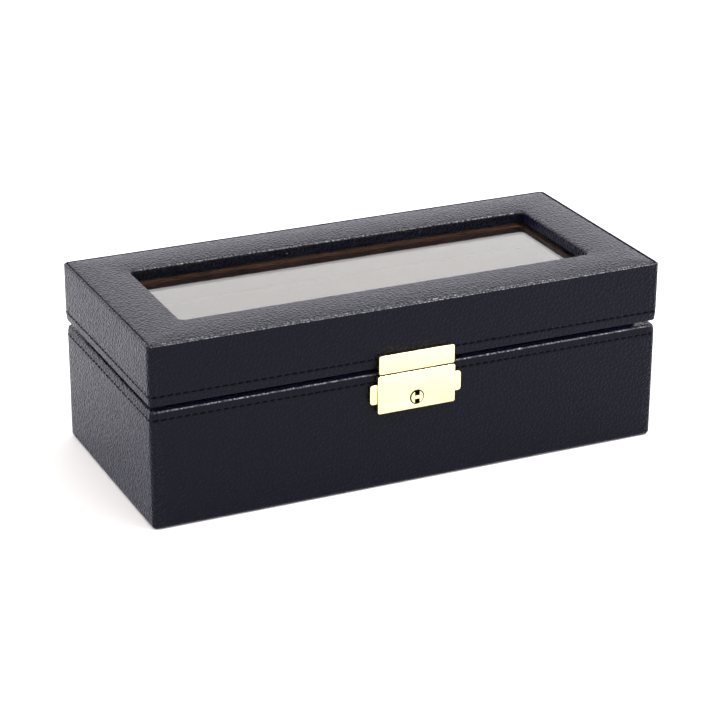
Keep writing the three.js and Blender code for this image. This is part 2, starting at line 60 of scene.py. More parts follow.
def add_node(tree, kind, **settings):
    """A shader or geometry node with its properties and unlinked inputs set by name."""
    node = tree.nodes.new(kind)
    for key, value in settings.items():
        if hasattr(node, key):
            setattr(node, key, value)
        else:
            node.inputs[key.replace("_", " ")].default_value = value
    return node


def colour_ramp(tree, factor, *stops):
    """A ColorRamp node fed by factor, with (position, grey or colour) stops."""
    ramp = tree.nodes.new("ShaderNodeValToRGB")
    elements = ramp.color_ramp.elements
    while len(elements) < len(stops):
        elements.new(0.5)
    for element, (position, colour) in zip(elements, stops):
        element.position = position
        element.color = (*((colour,) * 3 if isinstance(colour, float) else colour), 1)
    tree.links.new(factor, ramp.inputs["Fac"])
    return ramp.outputs["Color"]


def bump_into(tree, shader, height, distance, strength=1.0):
    """Feeds a height of 0 to 1 into the shader's normal, distance metres deep."""
    bump = add_node(tree, "ShaderNodeBump", Distance=distance, Strength=strength)
    tree.links.new(height, bump.inputs["Height"])
    tree.links.new(bump.outputs["Normal"], shader.inputs["Normal"])


def fibreboard():
    material, tree, shader = new_material("raw_fibreboard")
    place = add_node(tree, "ShaderNodeTexCoord").outputs["Object"]
    specks = add_node(tree, "ShaderNodeTexNoise", Scale=900.0, Detail=4.0)
    tree.links.new(place, specks.inputs["Vector"])
    dark, pale = (0.20, 0.12, 0.06), (0.38, 0.26, 0.15)
    colour = colour_ramp(tree, specks.outputs["Fac"], (0.3, dark), (0.7, pale))
    tree.links.new(colour, shader.inputs["Base Color"])
    bump_into(tree, shader, specks.outputs["Fac"], 0.1 * MM)
    shader.inputs["Roughness"].default_value = 0.9
    return material


board_material = fibreboard()
board_nodes = [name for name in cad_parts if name.endswith("_board")]
for name in board_nodes:
    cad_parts[name].data.materials.clear()
    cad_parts[name].data.materials.append(board_material)

# ---------------------------------------------------------------- leather covers
# Black pebble-grain artificial leather, glued over the boards in three pieces: round the case and
# folded under it, round the lid's sides, and over the lid's top and down into the window. The
# edges are turned round the boards, and the cover sinks a little along each row of stitches.
LEATHER = 1.0 * MM
GRAIN_CELL = 2.1 * MM
TIGHT_GRAIN = 0.28


def grain_group():
    """Pebble grain: rounded cells with creases between them. Puts out a height and a crease mask."""
    group = bpy.data.node_groups.new("pebble_grain", "ShaderNodeTree")
    group.interface.new_socket("Vector", in_out="INPUT", socket_type="NodeSocketVector")
    group.interface.new_socket("Cells per Metre", in_out="INPUT", socket_type="NodeSocketFloat")
    group.interface.new_socket("Height", in_out="OUTPUT", socket_type="NodeSocketFloat")
    group.interface.new_socket("Crease", in_out="OUTPUT", socket_type="NodeSocketFloat")
    inside = add_node(group, "NodeGroupInput")
    out = add_node(group, "NodeGroupOutput")
    link = group.links.new
    # The cells' outlines wander, so that no straight edges show
    wander = add_node(group, "ShaderNodeTexNoise", Scale=600.0, Detail=2.0)
    link(inside.outputs["Vector"], wander.inputs["Vector"])
    centred = add_node(group, "ShaderNodeVectorMath", operation="SUBTRACT")
    centred.inputs[1].default_value = (0.5, 0.5, 0.5)
    link(wander.outputs["Color"], centred.inputs[0])
    shift = add_node(group, "ShaderNodeVectorMath", operation="SCALE")
    shift.inputs["Scale"].default_value = 0.9 * MM
    link(centred.outputs[0], shift.inputs[0])
    moved = add_node(group, "ShaderNodeVectorMath", operation="ADD")
    link(inside.outputs["Vector"], moved.inputs[0])
    link(shift.outputs[0], moved.inputs[1])
    edges = add_node(group, "ShaderNodeTexVoronoi", feature="DISTANCE_TO_EDGE")
    link(moved.outputs[0], edges.inputs["Vector"])
    link(inside.outputs["Cells per Metre"], edges.inputs["Scale"])
    dome = add_node(group, "ShaderNodeMapRange", interpolation_type="SMOOTHSTEP")
    dome.inputs["From Max"].default_value = 0.32
    link(edges.outputs["Distance"], dome.inputs["Value"])
    fine = add_node(group, "ShaderNodeTexNoise", Scale=1500.0, Detail=3.0)
    link(inside.outputs["Vector"], fine.inputs["Vector"])
    mixed = add_node(group, "ShaderNodeMath", operation="MULTIPLY_ADD")
    mixed.inputs[1].default_value = 0.25
    link(fine.outputs["Fac"], mixed.inputs[0])
    link(dome.outputs["Result"], mixed.inputs[2])
    crease = add_node(group, "ShaderNodeMapRange", interpolation_type="SMOOTHSTEP")
    crease.inputs["From Max"].default_value = 0.12
    crease.inputs["To Min"].default_value = 1.0
    crease.inputs["To Max"].default_value = 0.0
    link(edges.outputs["Distance"], crease.inputs["Value"])
    link(mixed.outputs[0], out.inputs["Height"])
    link(crease.outputs["Result"], out.inputs["Crease"])
    return group


def black_leather(name, grain_depth, black):
    material, tree, shader = new_material(name)
    link = tree.links.new
    place = add_node(tree, "ShaderNodeTexCoord").outputs["Object"]
    grain = add_node(tree, "ShaderNodeGroup", node_tree=pebble_grain)
    grain.inputs["Cells per Metre"].default_value = 1 / GRAIN_CELL
    link(place, grain.inputs["Vector"])
    rubbed = add_node(tree, "ShaderNodeTexNoise", Scale=40.0, Detail=4.0)
    patches = add_node(tree, "ShaderNodeTexNoise", Scale=950.0, Detail=2.0)
    link(place, rubbed.inputs["Vector"])
    link(place, patches.inputs["Vector"])
    # The turned edges are burnished: paler and shinier in small patches, set where the softbox's
    # highlight falls on each rounded edge, so partly wear and partly a painted highlight
    edge = add_node(tree, "ShaderNodeAttribute", attribute_name="worn_edge_and_highlight")
    burnish_and_highlight = add_node(tree, "ShaderNodeMath", operation="MULTIPLY")
    link(edge.outputs["Fac"], burnish_and_highlight.inputs[0])
    link(colour_ramp(tree, patches.outputs["Fac"], (0.4, 0.15), (0.58, 1.0)), burnish_and_highlight.inputs[1])
    colour = add_node(tree, "ShaderNodeMix", data_type="RGBA")
    colour.inputs["A"].default_value = (*black, 1)
    colour.inputs["B"].default_value = (0.075, 0.075, 0.082, 1)
    link(burnish_and_highlight.outputs[0], colour.inputs["Factor"])
    link(colour.outputs["Result"], shader.inputs["Base Color"])
    link(burnish_and_highlight.outputs[0], shader.inputs["Metallic"])
    roughness = add_node(tree, "ShaderNodeMapRange")
    roughness.inputs["To Min"].default_value = 0.3
    roughness.inputs["To Max"].default_value = 0.44
    link(rubbed.outputs["Fac"], roughness.inputs["Value"])
    link(roughness.outputs["Result"], shader.inputs["Roughness"])
    # The pebbles have the gloss, and the creases between them are a little duller
    gloss = add_node(tree, "ShaderNodeMapRange")
    gloss.inputs["To Min"].default_value = 1.0
    gloss.inputs["To Max"].default_value = 0.93
    link(grain.outputs["Crease"], gloss.inputs["Value"])
    link(gloss.outputs["Result"], shader.inputs["Coat Weight"])
    # Pulled tight along the long sides, the cover's grain is flatter there
    pull = add_node(tree, "ShaderNodeAttribute", attribute_name="pulled_tight")
    flatter = add_node(tree, "ShaderNodeMapRange")
    flatter.inputs["To Min"].default_value = 1.0
    flatter.inputs["To Max"].default_value = TIGHT_GRAIN
    link(pull.outputs["Fac"], flatter.inputs["Value"])
    height = add_node(tree, "ShaderNodeMath", operation="MULTIPLY")
    link(grain.outputs["Height"], height.inputs[0])
    link(flatter.outputs["Result"], height.inputs[1])
    bump_into(tree, shader, height.outputs[0], grain_depth)
    link(shader.inputs["Normal"].links[0].from_socket, shader.inputs["Coat Normal"])
    shader.inputs["Coat IOR"].default_value = 1.155
    shader.inputs["Coat Roughness"].default_value = 0.34
    shader.inputs["Specular IOR Level"].default_value = 0.03
    shader.inputs["Sheen Weight"].default_value = 0.055
    shader.inputs["Sheen Roughness"].default_value = 0.5
    shader.inputs["Sheen Tint"].default_value = (0.25, 0.32, 1.0, 1)
    return material


pebble_grain = grain_group()
side_leather = black_leather("side_pebble_leather", 0.46 * MM, (0.0006, 0.0006, 0.003))
top_leather = black_leather("top_pebble_leather", 0.26 * MM, (0.0004, 0.0004, 0.001))


def rounded_loop(half, centre, inset, z, radius, along=(60, 28), corner=8):
    """Points round a rounded rectangle, counter-clockwise from above. along is the steps on a side."""
    reach = Vector((half[0] - inset - radius, half[1] - inset - radius))
    points = []
    for side in range(4):
        sx, sy = ((1, -1), (1, 1), (-1, 1), (-1, -1))[side]
        middle = Vector((sx * reach.x, sy * reach.y))
        start = (side - 1) * math.pi / 2
        for step in range(corner + 1):
            angle = start + step / corner * math.pi / 2
            points.append(middle + radius * Vector((math.cos(angle), math.sin(angle))))
        nx, ny = ((1, 1), (-1, 1), (-1, -1), (1, -1))[side]
        following = Vector((nx * reach.x, ny * reach.y))
        outward = Vector((math.cos(start + math.pi / 2), math.sin(start + math.pi / 2))) * radius
        count = along[1] if side % 2 == 0 else along[0]
        for step in range(1, count):
            points.append(middle.lerp(following, step / count) + outward)
    return [Vector((p.x + centre[0], p.y + centre[1], z)) for p in points]


def arc(inset, z, radius, start, end, steps):
    """(inset, z) points on an arc, between two angles in degrees; 180 faces out of the box."""
    angles = np.radians(np.linspace(start, end, steps + 1))
    return [(inset + radius * math.cos(a), z + radius * math.sin(a)) for a in angles]


def link_mesh(name, mesh, material, smooth=True):
    """A new object at the origin for a mesh."""
    mesh.name = name
    mesh.materials.clear()
    mesh.materials.append(material)
    mesh.polygons.foreach_set("use_smooth", [smooth] * len(mesh.polygons))
    piece = bpy.data.objects.new(name, mesh)
    bpy.context.scene.collection.objects.link(piece)
    return piece


def wrapped_cover(name, half, centre, profile, pulled, material):
    """Carries a closed profile of (inset, z, corner radius, wear and highlight) points round the box; the
    last is the burnish, partly wear and partly a painted highlight. pulled is how tight the cover is
    drawn along the long sides, from 0 to 1."""
    profile = np.array(profile, dtype=float).tolist()
    loops = [rounded_loop(half, centre, inset, z, radius) for inset, z, radius, wear_and_highlight in profile]
    around = len(loops[0])
    points = [p for loop in loops for p in loop]
    for p in points:
        sway = noise.noise_vector(p * 22) * WAVINESS
        p += Vector((sway.x, sway.y, sway.z * 0.5))
    faces = []
    for row in range(len(loops)):
        above = (row + 1) % len(loops)
        for i in range(around):
            j = (i + 1) % around
            faces.append((row * around + i, row * around + j, above * around + j, above * around + i))
    mesh = bpy.data.meshes.new(name)
    mesh.from_pydata(points, [], faces)
    # The long edges are burnished more than the ends, which keeps the painted highlight to the front and
    # back edges, where the softbox's highlight falls
    tight, wear_and_highlight = [], []
    for i, p in enumerate(points):
        from_end = half[0] - abs(p.x - centre[0])
        from_side = half[1] - abs(p.y - centre[1])
        on_long_side = min(max((from_end - from_side) / CORNER_EASE, 0), 1)
        tight.append(pulled * on_long_side)
        wear_and_highlight.append(profile[i // around][3] * (END_WEAR_AND_HIGHLIGHT + (1 - END_WEAR_AND_HIGHLIGHT) * on_long_side))
    mesh.attributes.new("pulled_tight", "FLOAT", "POINT").data.foreach_set("value", tight)
    mesh.attributes.new("worn_edge_and_highlight", "FLOAT", "POINT").data.foreach_set("value", wear_and_highlight)
    return link_mesh(name, mesh, material)


def half_and_centre(node):
    low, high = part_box(node)
    middle = (low + high) / 2
    return ((high.x - low.x) / 2, (high.y - low.y) / 2), (middle.x, middle.y)


STITCH_SINK = 0.35 * MM
STITCH_GROOVE = 0.5 * MM
GROOVE_REACH = 2.4 * MM
HEM_STEP = 0.16 * MM


def side_wall(low, high, stitch_z, body, hem, lean, side):
    """(inset, z) points up a side. The cover sinks along the stitches; beyond them (above them where
    side is 1, below them where it is -1) the hem starts hem deep and leans in to lean at its edge."""
    heights = np.unique(np.concatenate([
        np.linspace(low, high, 12),
        stitch_z + np.linspace(-GROOVE_REACH, GROOVE_REACH, 17),
    ]))
    edge = high if side > 0 else low
    points = []
    for z in heights[(heights >= low) & (heights <= high)]:
        notch = STITCH_SINK * math.exp(-(((z - stitch_z) / STITCH_GROOVE) ** 2))
        beyond = 1 / (1 + math.exp(-side * (z - stitch_z) / HEM_STEP))
        along = min(max((z - stitch_z) / (edge - stitch_z), 0), 1)
        points.append((body + (hem + (lean - hem) * along - body) * beyond + notch, z))
    return points


RIM_TO_STITCH, LID_EDGE_TO_STITCH = 4.0 * MM, 4.8 * MM
CORNER = 2.7 * MM
TIGHT_CORNER = 0.4 * MM
HEM = 7.3 * MM
LINING_FACE = 1.25 * MM
WAVINESS = 0.12 * MM
CORNER_EASE = 5 * MM
END_WEAR_AND_HIGHLIGHT = 0.35
base_half, base_centre = half_and_centre("base_leather")
base_low, base_high = (corner.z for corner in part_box("base_leather"))
lid_half, lid_centre = half_and_centre("lid_side_leather")
lid_low, lid_high = (corner.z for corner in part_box("lid_side_leather"))
base_stitch_z = base_high - RIM_TO_STITCH
lid_stitch_z = lid_low + LID_EDGE_TO_STITCH


def outer(points, wear_and_highlight=0.0):
    return [(i, z, max(CORNER - i, TIGHT_CORNER), wear_and_highlight) for i, z in points]


def inner(points):
    return [(i, z, TIGHT_CORNER, 0.0) for i, z in points]


BASE_FACE, BASE_RIM = 0.12 * MM, 0.5 * MM
FOOT_ROLL, RIM_ROLL = 1.6 * MM, 1.0 * MM
wall_low, wall_high = base_low + FOOT_ROLL + 0.4 * MM, base_high - RIM_ROLL - 0.1 * MM
rim = (BASE_RIM + RIM_ROLL, base_high - RIM_ROLL, RIM_ROLL)
base_profile = (
    outer([(HEM, base_low)])
    + outer(arc(BASE_FACE + FOOT_ROLL, base_low + FOOT_ROLL, FOOT_ROLL, 270, 185, 6))
    + outer(side_wall(wall_low, wall_high, base_stitch_z, BASE_FACE, 0, BASE_RIM, 1))
    + outer(arc(*rim, 172, 165, 1))
    # The part of the rim's roll where the softbox's highlight falls is burnished: partly wear, partly a
    # painted highlight
    + outer(arc(*rim, 156, 112, 4), 1.0)
    + outer(arc(*rim, 102, 90, 1))
    + outer([(HEM, base_high), (HEM, base_high - LEATHER)])
    + inner([(LINING_FACE, base_high - LEATHER), (LINING_FACE, base_low + LEATHER)])
    + inner([(HEM, base_low + LEATHER)])
)
base_cover = wrapped_cover("case_leather", base_half, base_centre, base_profile, 1, side_leather)
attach(base_cover, "base")
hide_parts("base_leather")

panel_low, panel_high = (corner.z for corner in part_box("lid_top_board"))
LID_FACE, LID_EDGE = 0.08 * MM, 0.5 * MM
LID_HEM_ROLL, LID_TOP_ROLL = 0.9 * MM, 0.8 * MM
LID_TOP_EDGE = lid_high - 0.15 * MM
BEHIND = LEATHER + 0.2 * MM
wall_low, wall_high = lid_low + LID_HEM_ROLL + 0.1 * MM, LID_TOP_EDGE - LID_TOP_ROLL - 0.1 * MM
brow = (LID_FACE + LID_TOP_ROLL, LID_TOP_EDGE - LID_TOP_ROLL, LID_TOP_ROLL)
lid_profile = (
    outer([(HEM, lid_low), (3 * MM, lid_low)])
    + outer(arc(LID_EDGE + LID_HEM_ROLL, lid_low + LID_HEM_ROLL, LID_HEM_ROLL, 270, 188, 5))
    + outer(side_wall(wall_low, wall_high, lid_stitch_z, LID_FACE, 0, LID_EDGE, -1))
    + outer(arc(*brow, 175, 160, 1))
    # The part of the lid's top edge where the highlight falls is burnished: partly wear, partly a painted
    # highlight
    + outer(arc(*brow, 150, 118, 3), 1.0)
    + outer(arc(*brow, 108, 70, 2))
    + outer([(BEHIND, LID_TOP_EDGE - 0.3 * MM), (BEHIND, panel_low)])
    + inner([(BEHIND, panel_low - 0.3 * MM), (LEATHER, lid_low + LEATHER), (HEM, lid_low + LEATHER)])
)
lid_cover = wrapped_cover("lid_side_leather_cover", lid_half, lid_centre, lid_profile, 1, side_leather)
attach(lid_cover, "lid")
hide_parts("lid_side_leather")

WINDOW_MARGIN = 24 * MM
WINDOW_ROLL = 1.5 * MM
WINDOW_CORNER = 2.5 * MM
CROWN = 0.55 * MM
OUTER_ROLL = 1.1 * MM
PANEL_CORNER = 1.2 * MM
top_half, top_centre = half_and_centre("lid_top_leather")
top_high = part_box("lid_top_leather")[1].z
border = WINDOW_MARGIN - (lid_half[0] - top_half[0])


def crowned(inset):
    """The padded frame's height: highest along its middle, and lower at its outer and window edges."""
    return top_high - CROWN * (2 * inset / border - 1) ** 2


def by_window(points, wear_and_highlight=0.0):
    return [(i, z, WINDOW_CORNER + border - i, wear_and_highlight) for i, z in points]


def by_edge(points, wear_and_highlight=0.0):
    return [(i, z, max(PANEL_CORNER - i, TIGHT_CORNER), wear_and_highlight) for i, z in points]


roll_inset = border - WINDOW_ROLL
roll_z = crowned(roll_inset) - WINDOW_ROLL
outer_z = crowned(OUTER_ROLL) - OUTER_ROLL
across = np.linspace(OUTER_ROLL, roll_inset, 13)[1:-1]
panel_edge = (OUTER_ROLL, outer_z, OUTER_ROLL)
window_edge = (roll_inset, roll_z, WINDOW_ROLL)
top_profile = (
    by_edge([(0, panel_low)])
    + by_edge(arc(*panel_edge, 180, 160, 2))
    # The part of the panel's outer edge where the highlight falls is burnished: partly wear, partly a
    # painted highlight
    + by_edge(arc(*panel_edge, 150, 118, 3), 1.0)
    + by_edge(arc(*panel_edge, 108, 94, 1))
    + by_edge([(i, crowned(i)) for i in (OUTER_ROLL + 0.3 * MM, *across[:5])])
    + by_window([(i, crowned(i)) for i in across[5:]])
    + by_window(arc(*window_edge, 86, 72, 1))
    # The part of the window's edge where the highlight falls is burnished: partly wear, partly a painted
    # highlight
    + by_window(arc(*window_edge, 62, 35, 3), 1.0)
    + by_window(arc(*window_edge, 25, 0, 3))
    + by_window([(border, panel_low), (border - LEATHER, panel_low)])
    + by_window(arc(roll_inset, roll_z, WINDOW_ROLL - LEATHER, 0, 86, 6))
    + by_window([(i, crowned(i) - LEATHER) for i in across[:4:-1]])
    + by_edge([(i, crowned(i) - LEATHER) for i in across[4::-1]])
    + by_edge([(LEATHER, outer_z), (LEATHER, panel_low)])
)
top_cover = wrapped_cover("lid_top_leather_cover", top_half, top_centre, top_profile, 0, top_leather)
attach(top_cover, "lid")
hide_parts("lid_top_leather")

# ---------------------------------------------------------------- stitches
# Black thread through the turned edges: one row round the lid above its lower edge, and one round
# the case below its rim. Each stitch is a short plump length of thread sunk into the cover.
STITCH_PITCH = 3.6 * MM
STITCH_LENGTH = 2.9 * MM
THREAD = 0.62 * MM
THREAD_SINK = 0.22 * MM


def twisted_thread(name, dark, pale):
    material, tree, shader = new_material(name)
    place = add_node(tree, "ShaderNodeTexCoord").outputs["Object"]
    twist = add_node(tree, "ShaderNodeTexWave", Scale=900.0, Distortion=1.5, bands_direction="DIAGONAL")
    tree.links.new(place, twist.inputs["Vector"])
    colour = colour_ramp(tree, twist.outputs["Fac"], (0.1, dark), (0.9, pale))
    tree.links.new(colour, shader.inputs["Base Color"])
    bump_into(tree, shader, twist.outputs["Fac"], 0.06 * MM)
    shader.inputs["Roughness"].default_value = 0.7
    shader.inputs["Specular IOR Level"].default_value = 0.03
    return material


def socket_id(tree, name):
    """The identifier of a tree's named input."""
    return next(s.identifier for s in tree.interface.items_tree if s.name == name)


def stitching_tree():
    """Geometry nodes that lay stitches along a path: Pitch, Length, Thread, Slant and Material."""
    tree = bpy.data.node_groups.new("stitch_row", "GeometryNodeTree")
    face = tree.interface
    face.new_socket("Path", in_out="INPUT", socket_type="NodeSocketGeometry")
    for name in ("Pitch", "Length", "Thread", "Slant"):
        face.new_socket(name, in_out="INPUT", socket_type="NodeSocketFloat")
    face.new_socket("Material", in_out="INPUT", socket_type="NodeSocketMaterial")
    face.new_socket("Stitches", in_out="OUTPUT", socket_type="NodeSocketGeometry")
    given = add_node(tree, "NodeGroupInput").outputs
    out = add_node(tree, "NodeGroupOutput")
    link = tree.links.new
    path = add_node(tree, "GeometryNodeMeshToCurve")
    link(given["Path"], path.inputs["Mesh"])
    spaced = add_node(tree, "GeometryNodeResampleCurve", mode="LENGTH")
    link(path.outputs["Curve"], spaced.inputs["Curve"])
    link(given["Pitch"], spaced.inputs["Length"])
    stitch = add_node(tree, "GeometryNodeMeshUVSphere", Segments=8, Rings=6)
    stitch.inputs["Radius"].default_value = 0.5
    size = add_node(tree, "ShaderNodeCombineXYZ")
    link(given["Length"], size.inputs["X"])
    link(given["Thread"], size.inputs["Y"])
    link(given["Thread"], size.inputs["Z"])
    along = add_node(tree, "GeometryNodeInputTangent")
    lean = add_node(tree, "ShaderNodeCombineXYZ")
    link(given["Slant"], lean.inputs["Z"])
    course = add_node(tree, "ShaderNodeVectorMath", operation="ADD")
    link(along.outputs[0], course.inputs[0])
    link(lean.outputs[0], course.inputs[1])
    turn = add_node(tree, "FunctionNodeAlignRotationToVector", axis="X")
    link(course.outputs[0], turn.inputs["Vector"])
    uneven = add_node(tree, "FunctionNodeRandomValue", data_type="FLOAT", Seed=7)
    uneven.inputs[2].default_value = 0.9
    uneven.inputs[3].default_value = 1.06
    varied = add_node(tree, "ShaderNodeVectorMath", operation="SCALE")
    link(size.outputs[0], varied.inputs[0])
    link(uneven.outputs[1], varied.inputs["Scale"])
    laid = add_node(tree, "GeometryNodeInstanceOnPoints")
    link(spaced.outputs["Curve"], laid.inputs["Points"])
    link(stitch.outputs["Mesh"], laid.inputs["Instance"])
    link(turn.outputs["Rotation"], laid.inputs["Rotation"])
    link(varied.outputs[0], laid.inputs["Scale"])
    solid = add_node(tree, "GeometryNodeRealizeInstances")
    link(laid.outputs["Instances"], solid.inputs["Geometry"])
    painted = add_node(tree, "GeometryNodeSetMaterial")
    link(solid.outputs["Geometry"], painted.inputs["Geometry"])
    link(given["Material"], painted.inputs["Material"])
    link(painted.outputs["Geometry"], out.inputs["Stitches"])
    return tree


def plain_mesh(piece, name):
    """The evaluated piece as a mesh of its own, with the modified object removed."""
    graph = bpy.context.evaluated_depsgraph_get()
    mesh = bpy.data.meshes.new_from_object(piece.evaluated_get(graph))
    mesh.name = name
    bpy.data.objects.remove(piece)
    return mesh


def stitch_row(name, path, material, pitch=STITCH_PITCH, length=STITCH_LENGTH, thread=THREAD, slant=0.1):
    """Stitches along a closed path of points, as one plain mesh."""
    mesh = bpy.data.meshes.new(name + "_path")
    count = len(path)
    mesh.from_pydata(path, [(i, (i + 1) % count) for i in range(count)], [])
    row = bpy.data.objects.new(name + "_path", mesh)
    bpy.context.scene.collection.objects.link(row)
    nodes = row.modifiers.new("stitches", "NODES")
    nodes.node_group = stitching
    given = {"Pitch": pitch, "Length": length, "Thread": thread, "Slant": slant, "Material": material}
    for key, value in given.items():
        nodes[socket_id(stitching, key)] = value
    return link_mesh(name, plain_mesh(row, name), material)


thread_material = twisted_thread("black_thread", (0.0005, 0.0005, 0.0007), (0.003, 0.003, 0.004))
stitching = stitching_tree()
for name, half, centre, z, body in (
    ("lid_stitches", lid_half, lid_centre, lid_stitch_z, "lid"),
    ("case_stitches", base_half, base_centre, base_stitch_z, "base"),
):
    path = rounded_loop(half, centre, THREAD_SINK, z, CORNER - THREAD_SINK)
    row = stitch_row(name, path, thread_material)
    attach(row, body)

# ---------------------------------------------------------------- suede lining
# Cards covered in chocolate brown suede-cloth, with the cloth turned over their edges: the floor
# and walls of the case, the dividers, the lid's walls, and the frame that holds up the glass.
CARD_EDGE = 0.45 * MM


def nap_group():
    """Brushed nap: soft clouds of lay and fine fibres. Puts out a colour mask and a height."""
    group = bpy.data.node_groups.new("suede_nap", "ShaderNodeTree")
    group.interface.new_socket("Vector", in_out="INPUT", socket_type="NodeSocketVector")
    group.interface.new_socket("Lay", in_out="OUTPUT", socket_type="NodeSocketFloat")
    group.interface.new_socket("Fibres", in_out="OUTPUT", socket_type="NodeSocketFloat")
    inside = add_node(group, "NodeGroupInput")
    out = add_node(group, "NodeGroupOutput")
    lay = add_node(group, "ShaderNodeTexNoise", Scale=60.0, Detail=3.0, Distortion=0.6)
    fibres = add_node(group, "ShaderNodeTexNoise", Scale=2600.0, Detail=4.0)
    for texture in (lay, fibres):
        group.links.new(inside.outputs["Vector"], texture.inputs["Vector"])
    group.links.new(lay.outputs["Fac"], out.inputs["Lay"])
    group.links.new(fibres.outputs["Fac"], out.inputs["Fibres"])
    return group


def suede(name, dark, pale, sheen):
    material, tree, shader = new_material(name)
    link = tree.links.new
    place = add_node(tree, "ShaderNodeTexCoord").outputs["Object"]
    nap = add_node(tree, "ShaderNodeGroup", node_tree=suede_nap)
    link(place, nap.inputs["Vector"])
    cloud = colour_ramp(tree, nap.outputs["Lay"], (0.35, dark), (0.68, pale))
    fleck = add_node(tree, "ShaderNodeMix", data_type="RGBA", blend_type="MULTIPLY")
    fleck.inputs["Factor"].default_value = 0.5
    link(cloud, fleck.inputs["A"])
    link(colour_ramp(tree, nap.outputs["Fibres"], (0.35, 0.45), (0.65, 1.0)), fleck.inputs["B"])
    link(fleck.outputs["Result"], shader.inputs["Base Color"])
    bump_into(tree, shader, nap.outputs["Fibres"], 0.08 * MM)
    shader.inputs["Roughness"].default_value = 0.95
    shader.inputs["Specular IOR Level"].default_value = 0.1
    shader.inputs["Sheen Weight"].default_value = sheen
    shader.inputs["Sheen Roughness"].default_value = 0.4
    shader.inputs["Sheen Tint"].default_value = (0.75, 0.6, 0.5, 1)
    return material


def dressed(node, name, material, edge, segments=3, steepest=30):
    """A copy of a CAD node as one smooth mesh with its edges rounded."""
    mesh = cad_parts[node].data.copy()
    work = bmesh.new()
    work.from_mesh(mesh)
    bmesh.ops.remove_doubles(work, verts=work.verts, dist=0.002 * MM)
    flat = math.radians(1)
    bmesh.ops.dissolve_limit(work, angle_limit=flat, verts=work.verts, edges=work.edges)
    work.to_mesh(mesh)
    work.free()
    piece = link_mesh(name + "_blank", mesh, material)
    rounding = piece.modifiers.new("edges", "BEVEL")
    rounding.width = edge
    rounding.segments = segments
    rounding.limit_method = "ANGLE"
    rounding.angle_limit = math.radians(steepest)
    rounding.harden_normals = True
    return link_mesh(name, plain_mesh(piece, name), material)


def dress(node, name, material, edge, body, slot, **options):
    piece = dressed(node, name, material, edge, **options)
    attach(piece, body)
    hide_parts(node)
    return piece


suede_nap = nap_group()
lining_material = suede("brown_suede", (0.015, 0.0054, 0.0026), (0.031, 0.012, 0.006), 0.1)
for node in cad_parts:
    if node.endswith("_lining") or node.startswith("divider") or node == "glass_retainer":
        body = "lid" if node.startswith(("lid", "glass")) else "base"
        dress(node, node + "_card", lining_material, CARD_EDGE, body, "brown_suede")

# ---------------------------------------------------------------- felt
# A sheet of black felt glued to the underside, which the box stands on.


def black_felt():
    material, tree, shader = new_material("black_felt")
    place = add_node(tree, "ShaderNodeTexCoord").outputs["Object"]
    fuzz = add_node(tree, "ShaderNodeTexNoise", Scale=1400.0, Detail=5.0)
    tree.links.new(place, fuzz.inputs["Vector"])
    colour = colour_ramp(tree, fuzz.outputs["Fac"], (0.3, 0.003), (0.75, (0.02, 0.02, 0.021)))
    tree.links.new(colour, shader.inputs["Base Color"])
    bump_into(tree, shader, fuzz.outputs["Fac"], 0.2 * MM)
    shader.inputs["Roughness"].default_value = 1.0
    shader.inputs["Sheen Weight"].default_value = 0.2
    return material


dress("base_felt", "underside_felt", black_felt(), 0.35 * MM, "base", "black_felt")

# ---------------------------------------------------------------- window glass
# A pane of clear float glass, 2 mm thick, held between the lid's top board and the suede frame.


def clear_glass():
    material, tree, shader = new_material("clear_glass")
    link = tree.links.new
    shader.inputs["Base Color"].default_value = (0.97, 0.99, 0.98, 1)
    shader.inputs["Transmission Weight"].default_value = 1.0
    shader.inputs["IOR"].default_value = 1.5
    place = add_node(tree, "ShaderNodeTexCoord").outputs["Object"]
    smears = add_node(tree, "ShaderNodeTexNoise", Scale=18.0, Detail=3.0)
    link(place, smears.inputs["Vector"])
    link(colour_ramp(tree, smears.outputs["Fac"], (0.45, 0.0), (0.8, 0.012)), shader.inputs["Roughness"])
    # Lamps reach what is behind the pane
    clear = add_node(tree, "ShaderNodeBsdfTransparent")
    paths = add_node(tree, "ShaderNodeLightPath")
    mixed = add_node(tree, "ShaderNodeMixShader")
    link(paths.outputs["Is Shadow Ray"], mixed.inputs["Fac"])
    link(shader.outputs["BSDF"], mixed.inputs[1])
    link(clear.outputs["BSDF"], mixed.inputs[2])
    link(mixed.outputs["Shader"], tree.nodes["Material Output"].inputs["Surface"])
    return material


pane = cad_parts["window_glass"]
pane.data.materials.clear()
pane.data.materials.append(clear_glass())

# ---------------------------------------------------------------- hinges
# Two brass butt hinges screwed to the back: a leaf on the case, a leaf on the lid, a headed pin
# through their knuckles, and four countersunk screws in each.


